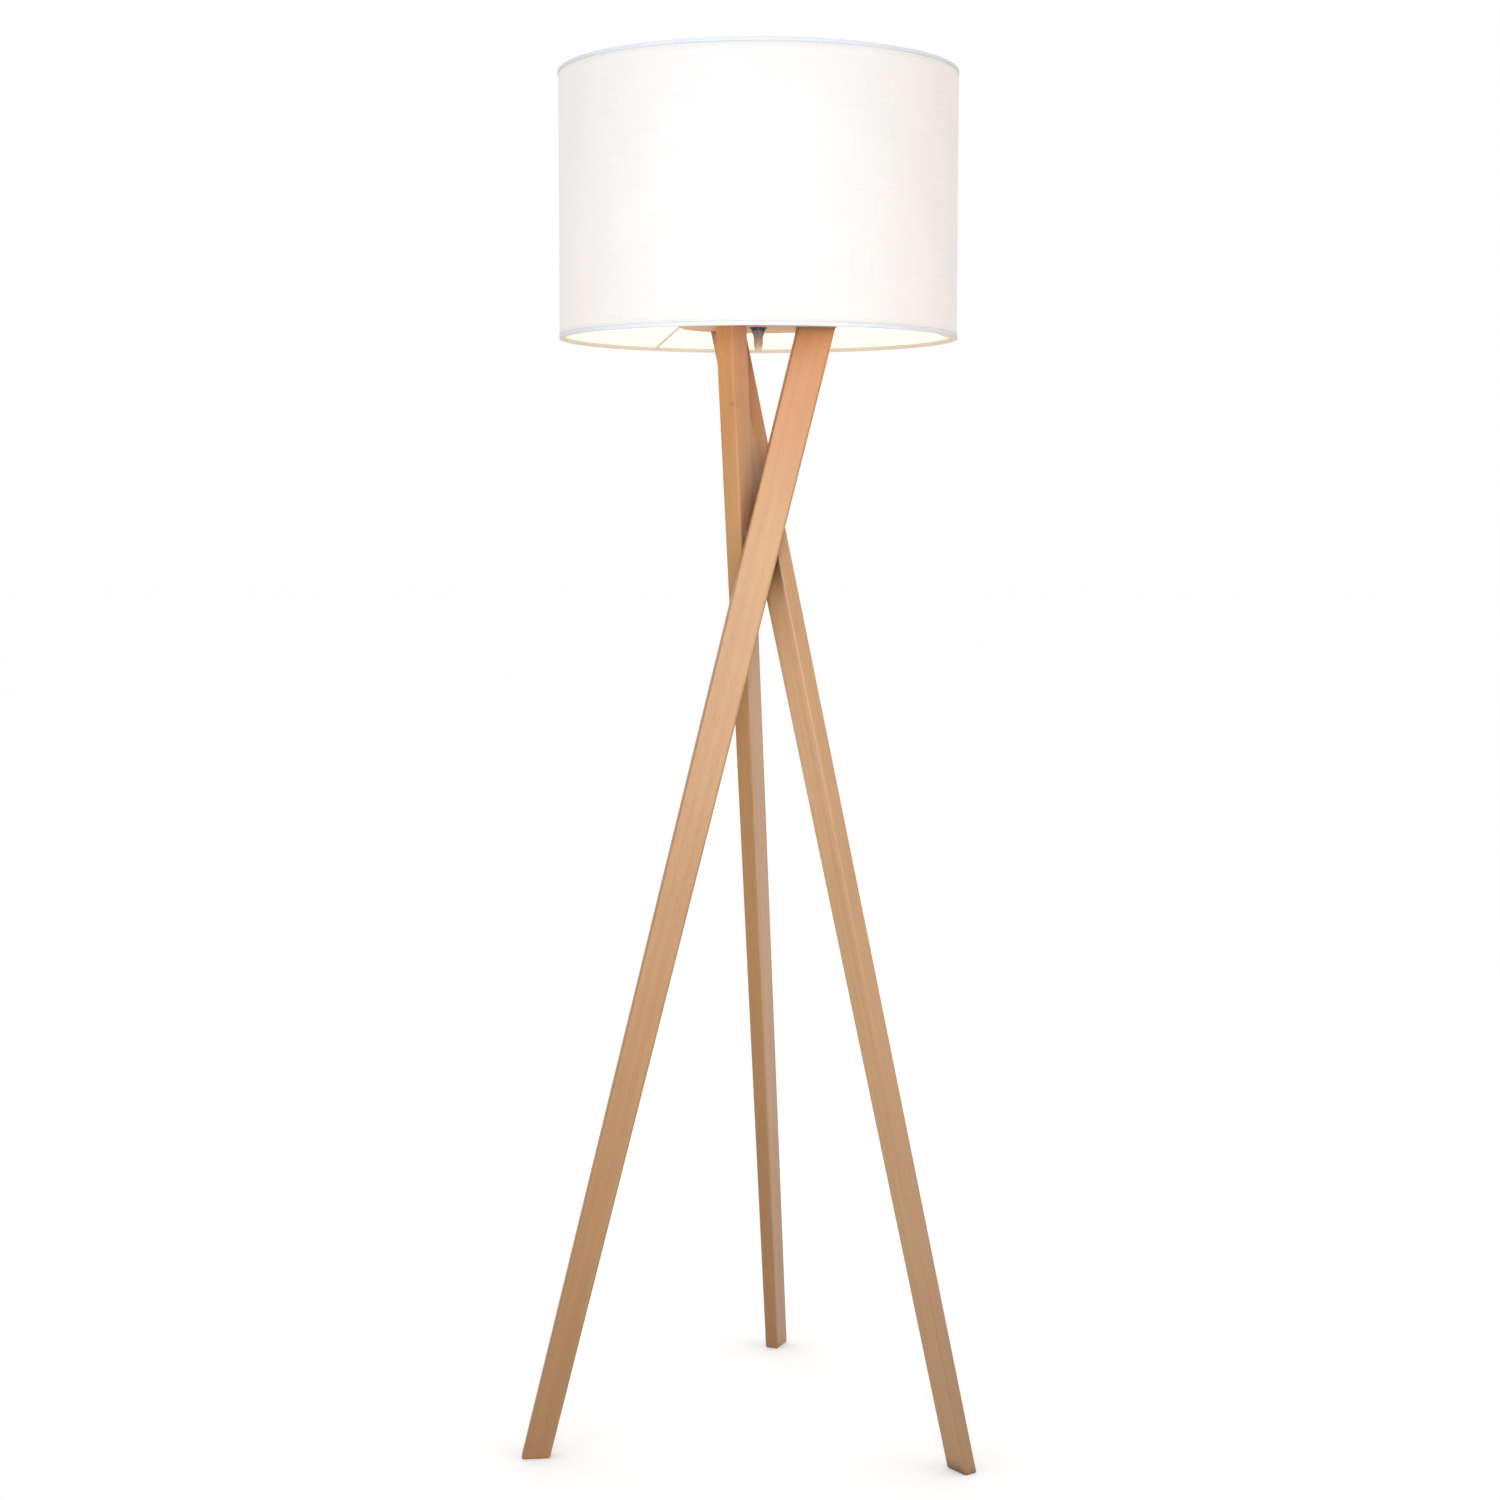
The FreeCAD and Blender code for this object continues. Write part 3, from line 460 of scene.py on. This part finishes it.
def bound_edge(name, node, inward, arms):
    """A cloth tape folded over the wall's edge and round the wire ring.

    inward: +1 at the bottom, -1 at the top
    arms: angles where an arm leaves the ring, and the inside of the fold is cut lower
    """
    low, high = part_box(node)
    end = low.z if inward > 0 else high.z
    depth = high.z - low.z
    outer = high.x
    tape = TAPE_THICKNESS
    wall = outer - tape
    ring_low, ring_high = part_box("shade_ring_bottom")
    inside = ring_high.x - (ring_high.z - ring_low.z) - RING_CLEARANCE
    middle = (outer + inside) / 2
    hem = wander(31 + inward, (3, 5, 17, 43, 71), HEM_SWAY)
    swell = wander(41 + inward, (9, 13, 29, 57), FOLD_SWELL)

    def fold_height(angle):
        height = FOLD_HEIGHT
        for arm in arms:
            gap = abs(math.remainder(angle - arm, 2 * math.pi))
            height -= (FOLD_HEIGHT - ARM_CUT_HEIGHT) * math.exp(-(gap / ARM_CUT_ANGLE) ** 4)
        return height

    def section(i):
        angle = 2 * math.pi * i / TAPE_COLUMNS
        d = depth + hem(angle)          # the tape's height on the outside
        b = swell(angle)                # how far it bulges
        f = fold_height(angle)          # its height on the inside
        hem_outside = [(wall + 0.0001, d), (outer - 0.00012, d - 0.0001), (outer + 0.0001 + b, d * 0.6)]
        round_the_edge = [(outer + b * 0.6, d * 0.25), (outer - 0.0002, 0.0003), (outer - 0.0008, 0.00005)]
        under_the_ring = [(middle, b * 0.4), (inside, 0.0001), (inside - tape, 0.0005)]
        up_the_fold = [(inside - tape, f * 0.6 + 0.0002), (inside - tape * 0.8, f)]
        back_down = [(inside, f), (inside, f * 0.6 + 0.0002), (inside, 0.0006)]
        back_under = [(inside + tape, tape + 0.0001), (middle, tape), (wall - tape, tape + 0.0001)]
        up_the_wall = [(wall, 0.0007), (wall, d * 0.4)]
        line = (hem_outside + round_the_edge + under_the_ring + up_the_fold
                + back_down + back_under + up_the_wall)
        return [(r, end + inward * max(0.0, h)) for r, h in line]

    count = len(section(0))
    outline_vs = [TAPE_UNROLL * k for k in range(count + 1)]

    def uv_at(i):
        angle = 2 * math.pi * i / TAPE_COLUMNS
        return angle, angle * outer, outline_vs

    piece = swept(name, section, count, TAPE_COLUMNS, uv_at)
    if inward > 0:
        piece.data.flip_normals()
    return piece


THREAD_CREST = 0.0131                   # the E27 thread's radii and pitch
THREAD_ROOT = 0.0122
THREAD_PITCH = 0.00363
THREAD_TURNS = 5.2
THREAD_FADE = 0.5                       # turns over which the ridge runs out at each end
CAP_WALL = 0.0004
CAP_COLUMNS = 72
CAP_ROWS = 60


def thread_cap(name, bottom, top):
    """A rolled metal screw cap with a true helical thread."""
    outside, inside = [], []
    for side, store in ((0.0, outside), (CAP_WALL, inside)):
        for k in range(CAP_ROWS + 1):
            z = bottom + (top - bottom) * k / CAP_ROWS
            for j in range(CAP_COLUMNS):
                angle = 2 * math.pi * j / CAP_COLUMNS
                along = (z - bottom) / THREAD_PITCH - j / CAP_COLUMNS
                fade_in = min(1.0, max(0.0, along / THREAD_FADE))
                fade_out = min(1.0, max(0.0, (THREAD_TURNS - along) / THREAD_FADE))
                ridge = (0.5 - 0.5 * math.cos(2 * math.pi * along)) * fade_in * fade_out
                radius = THREAD_ROOT + (THREAD_CREST - THREAD_ROOT) * ridge - side
                store.append((radius * math.cos(angle), radius * math.sin(angle), z))
    shift = len(outside)
    faces = []
    for k in range(CAP_ROWS):
        for j in range(CAP_COLUMNS):
            a, b = k * CAP_COLUMNS + j, k * CAP_COLUMNS + (j + 1) % CAP_COLUMNS
            c, d = b + CAP_COLUMNS, a + CAP_COLUMNS
            faces.append((a, b, c, d))
            faces.append((shift + d, shift + c, shift + b, shift + a))
    for j in range(CAP_COLUMNS):
        b = (j + 1) % CAP_COLUMNS
        last = CAP_ROWS * CAP_COLUMNS
        faces.append((shift + j, shift + b, b, j))
        faces.append((last + j, last + b, shift + last + b, shift + last + j))
    return new_piece(name, outside + inside, faces)


# ---- cloth ----

SHEEN_TINT = (1.0, 0.78, 0.66, 1)


def weave(name, light, dark, thread, slub, sheen=0.15, glow=None, inside=None):
    """Plain-woven cloth, from the piece's own unrolled lengths.

    light, dark: the colours of the threads and of the gaps between them
    thread: the width of one thread
    slub: how much the thicker stretches of yarn show
    glow: the tint and the strength of the light that comes through
    inside: a tint for what lies inside the shade's wall, painted warm light where the lit lining shines on it
    """
    g = Graph(name, 0.85)
    cloth = g.coordinates.outputs["UV"]
    crossings = math.pi / (20 * thread)     # the scale that gives one wave for each two threads
    warp = g.wave(cloth, crossings, "X", 0.4)
    weft = g.wave(cloth, crossings, "Y", 0.4)
    slub_weft = g.noise(g.mapped(cloth, scale=(22, 1100, 1)), 1.0, 2.0, 0.6)
    slub_warp = g.noise(g.mapped(cloth, scale=(1100, 16, 1), location=(3.1, 5.3, 0)), 1.0, 2.0, 0.6)
    cloud = g.noise(g.mapped(cloth, scale=(14, 14, 1)), 1.0, 2.0)
    threads = g.math("MULTIPLY", warp, weft)
    tone = g.mix(g.ramp(threads, [(0.0, 0.0), (0.7, 1.0)]), dark, light)
    streak = 1 - 0.10 * slub
    tone = g.times(tone, g.ramp(slub_weft, [(0.30, streak), (0.50, 1.0), (0.72, 1.0 + 0.03 * slub)]))
    tone = g.times(tone, g.ramp(slub_warp, [(0.28, streak), (0.48, 1.0)]))
    tone = g.times(tone, g.ramp(cloud, [(0.3, 0.975), (0.7, 1.0)]))
    # Painted warm light on what lies inside the shade's wall, where the lit lining shines on it.
    if inside:
        radius = g.vector_number("LENGTH", g.mapped(g.coordinates.outputs["Object"], scale=(1, 1, 0)))
        past_wall = g.math("SUBTRACT", radius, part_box("shade_liner")[1].x)
        depth = g.math("MULTIPLY", past_wall, -1 / MM)
        tone = g.times(tone, g.ramp(depth, [(0.2, (1, 1, 1)), (0.9, inside)]))
    g.colour(tone)
    if glow:
        tint, strength = glow
        g.glow(g.times(tone, tint), strength)
    g.set("Sheen Weight", sheen)
    g.set("Sheen Roughness", 0.5)
    g.set("Sheen Tint", SHEEN_TINT)
    g.bump(threads, 0.25, 0.0002)
    g.bump(slub_weft, 0.15, 0.0003)
    return g.material


def film_material():
    """The lining's translucent film, lit from inside."""
    g = Graph("shade_lining_film", 0.6)
    film = g.noise(g.mapped(g.coordinates.outputs["UV"], scale=(30, 30, 1)), 1.0, 2.0)
    g.colour(g.ramp(film, [(0.3, (0.24, 0.23, 0.21)), (0.7, (0.27, 0.26, 0.24))]))
    g.glow(g.ramp(film, [(0.3, (0.90, 0.76, 0.62)), (0.7, (0.93, 0.79, 0.65))]), 1.15)
    return g.material


# ---- the scene's pieces ----

make_camera()

LEG_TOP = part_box("leg_1")[1].z

# Painted light and shade by height, as shares of the legs' own: painted shade darkens the wood
# towards the floor, and painted warm lamp light makes it browner under the shade. The front leg's last
# stops paint light onto the wood just under the shade's rim and paint shade onto its very top.
FRONT_LEG_PAINTED_LIGHT = [(0.0, (0.74, 0.70, 0.63)), (0.35, (0.87, 0.85, 0.81)), (0.80, (1.0, 1.0, 1.0)),
            (0.935, (0.98, 0.78, 0.66)), (0.962, (0.995, 0.773, 0.60)), (0.975, (1.14, 0.91, 0.735)),
            (0.994, (1.32, 1.09, 0.95)), (0.998, (0.88, 0.85, 0.80)), (1.0, (0.64, 0.72, 0.78))]
RIGHT_LEG_PAINTED_LIGHT = [(0.0, (0.68, 0.645, 0.57)), (0.35, (0.87, 0.85, 0.81)), (0.80, (1.0, 1.0, 1.0)),
                  (0.94, (0.98, 0.85, 0.80)), (1.0, (0.96, 0.76, 0.66))]
BACK_LEG_PAINTED_LIGHT = [(0.0, (0.617, 0.583, 0.525)), (0.35, (0.725, 0.708, 0.675)), (0.75, (0.833, 0.833, 0.833)),
                 (0.85, (0.93, 0.89, 0.875)), (0.93, (0.93, 0.79, 0.66)), (1.0, (1.0, 0.81, 0.64))]
# Each leg's tones and thin-side tint are set apart to match how that leg is lit: painted light and shade as
# well as the board's own colour.
LEG_FACTS = {
    "leg_1": {
        "seed": 0.31, "edge": (0.84, 0.78, 0.70), "painted_light_by_height": FRONT_LEG_PAINTED_LIGHT,
        "tones": ((0.380, 0.203, 0.085), (0.415, 0.225, 0.0965), (0.452, 0.250, 0.1120)),
    },
    "leg_2": {
        "seed": 1.73, "edge": (0.84, 0.81, 0.80), "painted_light_by_height": RIGHT_LEG_PAINTED_LIGHT, "shadow": (0.31, 0.24, 0.20),
        "tones": ((0.445, 0.252, 0.118), (0.488, 0.283, 0.135), (0.534, 0.318, 0.159)),
    },
    "leg_3": {
        "seed": 2.57, "edge": (0.82, 0.725, 0.475), "painted_light_by_height": BACK_LEG_PAINTED_LIGHT,
        "tones": ((0.456, 0.258, 0.134), (0.504, 0.292, 0.157), (0.556, 0.330, 0.182)),
        "knots": ((-0.0289, -0.0560, 1.1848),),
    },
}
PLATE_GRAIN = Vector((0.94, 0.34, 0)).normalized()
# The plate's wood is lighter and more orange than the legs': painted warm light from the lit shade on its
# underside.
PLATE_TONES = ((0.60, 0.33, 0.155), (0.68, 0.39, 0.19), (0.74, 0.45, 0.24))
PLATE_EDGE = (0.95, 0.93, 0.90)

for name, facts in LEG_FACTS.items():
    assign(nodes[name], wood(name + "_wood", board_axes(nodes[name]), **facts))
plate_low, plate_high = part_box("top_plate")
plate_axes = (UP.cross(PLATE_GRAIN), UP, PLATE_GRAIN, (plate_low + plate_high) / 2)
assign(nodes["top_plate"], wood("plate_wood", plate_axes, PLATE_TONES, PLATE_EDGE, seed=4.4, gloss=0.3))

STEEL = metal("steel", (0.62, 0.62, 0.64), 0.34)
DARK = metal("dark_metal", (0.10, 0.10, 0.125), 0.42)
GRIP = gland_material()
# The wire's warm beige is its own pale paint with painted warm light from the lit shade.
WIRE = metal("shade_wire", (0.80, 0.66, 0.52), 0.45, metallic=0.0)
BRASS = metal("brass", (0.78, 0.58, 0.26), 0.3)
NICKEL = metal("bulb_nickel", (0.78, 0.77, 0.75), 0.25)
ALUMINIUM = metal("bulb_aluminium", (0.78, 0.78, 0.80), 0.4)
PLASTIC = moulded("holder_plastic", (0.60, 0.595, 0.58), 0.42)
CERAMIC = moulded("ceramic", (0.66, 0.65, 0.62), 0.25, 0.05)
BROWN = moulded("lead_brown", (0.23, 0.11, 0.06), 0.5)
BLUE = moulded("lead_blue", (0.05, 0.17, 0.45), 0.5)
BLACK = moulded("bulb_black", (0.03, 0.03, 0.035), 0.15, 0.03)
WHITE = moulded("bulb_white", (0.55, 0.55, 0.54), 0.32, 0.06)
BOARD = moulded("circuit_board", (0.06, 0.26, 0.13), 0.4)
CHIP = moulded("led_chip", (0.88, 0.70, 0.22), 0.35)

FINISHES = {
    "waist_dowel_screws": STEEL, "leg_screws": STEEL, "stem_tube": STEEL, "upper_washer": STEEL,
    "upper_nut": STEEL, "lower_washer": DARK, "lower_nut": DARK, "cord_grip": GRIP, "cord_grip_screw": GRIP,
    "holder_cap": PLASTIC, "holder_shell": PLASTIC, "clamp_ring": PLASTIC, "holder_insert": CERAMIC,
    "holder_sleeve": BRASS, "holder_centre_contact": BRASS, "terminal_screws": BRASS, "lead_live": BROWN,
    "lead_neutral": BLUE, "shade_hub": WIRE, "shade_arms": WIRE, "shade_ring_bottom": WIRE,
    "shade_ring_top": WIRE, "bulb_tip": NICKEL, "bulb_insulator": BLACK, "bulb_housing": WHITE,
    "bulb_heat_sink": ALUMINIUM, "bulb_led_board": ALUMINIUM, "bulb_driver_board": BOARD, "bulb_leds": CHIP,
}
for name, material in FINISHES.items():
    assign(nodes[name], material)

assign(nodes["bulb_dome"], opal_material())

cap_low, cap_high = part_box("bulb_cap")
cap = thread_cap("bulb_cap_thread", cap_low.z, cap_high.z)
assign(cap, NICKEL)
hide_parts("bulb_cap")
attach(cap, "bulb")

COVER = weave("shade_cloth", (0.43, 0.425, 0.415), (0.38, 0.375, 0.366), 0.0009, 0.45, sheen=0.12,
              glow=((1.0, 0.85, 0.76), 0.90))
# The tape's inside tint is painted warm light from the lit lining.
TAPE = weave("shade_tape", (0.59, 0.605, 0.625), (0.51, 0.52, 0.54), 0.0006, 0.5, inside=(1.33, 1.15, 0.94))
COVER_THICKNESS = 0.0006
LINING_THICKNESS = 0.0005
FIRST_ARM = 4.0                         # degrees, with the other two 120 degrees apart

cover = rolled_wall("shade_cover", "shade_fabric", COVER_THICKNESS, 24, 0.0005)
assign(cover, COVER)
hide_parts("shade_fabric")
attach(cover, "shade")
lining = rolled_wall("shade_lining", "shade_liner", LINING_THICKNESS, 8, 0.0)
assign(lining, film_material())
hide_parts("shade_liner")
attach(lining, "shade")
arm_angles = [math.radians(FIRST_ARM + 120.0 * i) for i in range(3)]
for name, inward, arms in (("shade_trim_bottom", 1, arm_angles), ("shade_trim_top", -1, [])):
    tape = bound_edge(name + "_tape", name, inward, arms)
    assign(tape, TAPE)
    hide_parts(name)
    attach(tape, "shade")


# ---- floor and light ----

FLOOR_HALF = 40.0


def make_floor():
    corners = [(x * FLOOR_HALF, y * FLOOR_HALF, 0) for x, y in ((-1, -1), (1, -1), (1, 1), (-1, 1))]
    floor = new_piece("studio_floor", corners, [(0, 1, 2, 3)])
    g = Graph("studio_floor_paint", 0.9)
    speck = g.noise(g.coordinates.outputs["Object"], 60.0, 2.0)
    g.colour(g.ramp(speck, [(0.3, 0.90), (0.7, 0.92)]))
    g.set("Emission Color", (1, 1, 1, 1))
    g.set("Emission Strength", 0.08)
    g.set("Specular IOR Level", 0.1)
    assign(floor, g.material)


def area_light(name, place, target, size, energy, colour, spread):
    """A square lamp. size is its side in metres, energy is in watts and spread in degrees."""
    data = bpy.data.lights.new(name, "AREA")
    data.size = size
    data.energy = energy
    data.color = colour
    data.spread = math.radians(spread)
    light = bpy.data.objects.new(name, data)
    light.location = place
    light.rotation_euler = (Vector(target) - Vector(place)).to_track_quat("-Z", "Y").to_euler()
    light.visible_camera = False
    bpy.context.scene.collection.objects.link(light)


def make_world():
    """An even white surround."""
    world = bpy.data.worlds.new("studio")
    world.use_nodes = True
    surround = world.node_tree.nodes["Background"]
    surround.inputs["Color"].default_value = (1, 1, 1, 1)
    surround.inputs["Strength"].default_value = 1.0
    bpy.context.scene.world = world


make_floor()
area_light("key", place=(0.0, -2.45, 1.30), target=(0.0, 0.0, 1.05), size=0.7, energy=4.45,
           colour=(1.0, 0.98, 0.96), spread=60.0)
area_light("fill", place=(2.2, -0.9, 0.7), target=(0.0, 0.0, 0.45), size=1.0, energy=0.45,
           colour=(0.97, 0.97, 1.0), spread=32.0)
area_light("shade_front", place=(-0.55, -2.4, 1.45), target=(0.0, 0.0, 1.45), size=0.5, energy=0.55,
           colour=(0.30, 0.66, 1.0), spread=26.0)
make_world()
bpy.context.scene.view_settings.view_transform = "Standard"
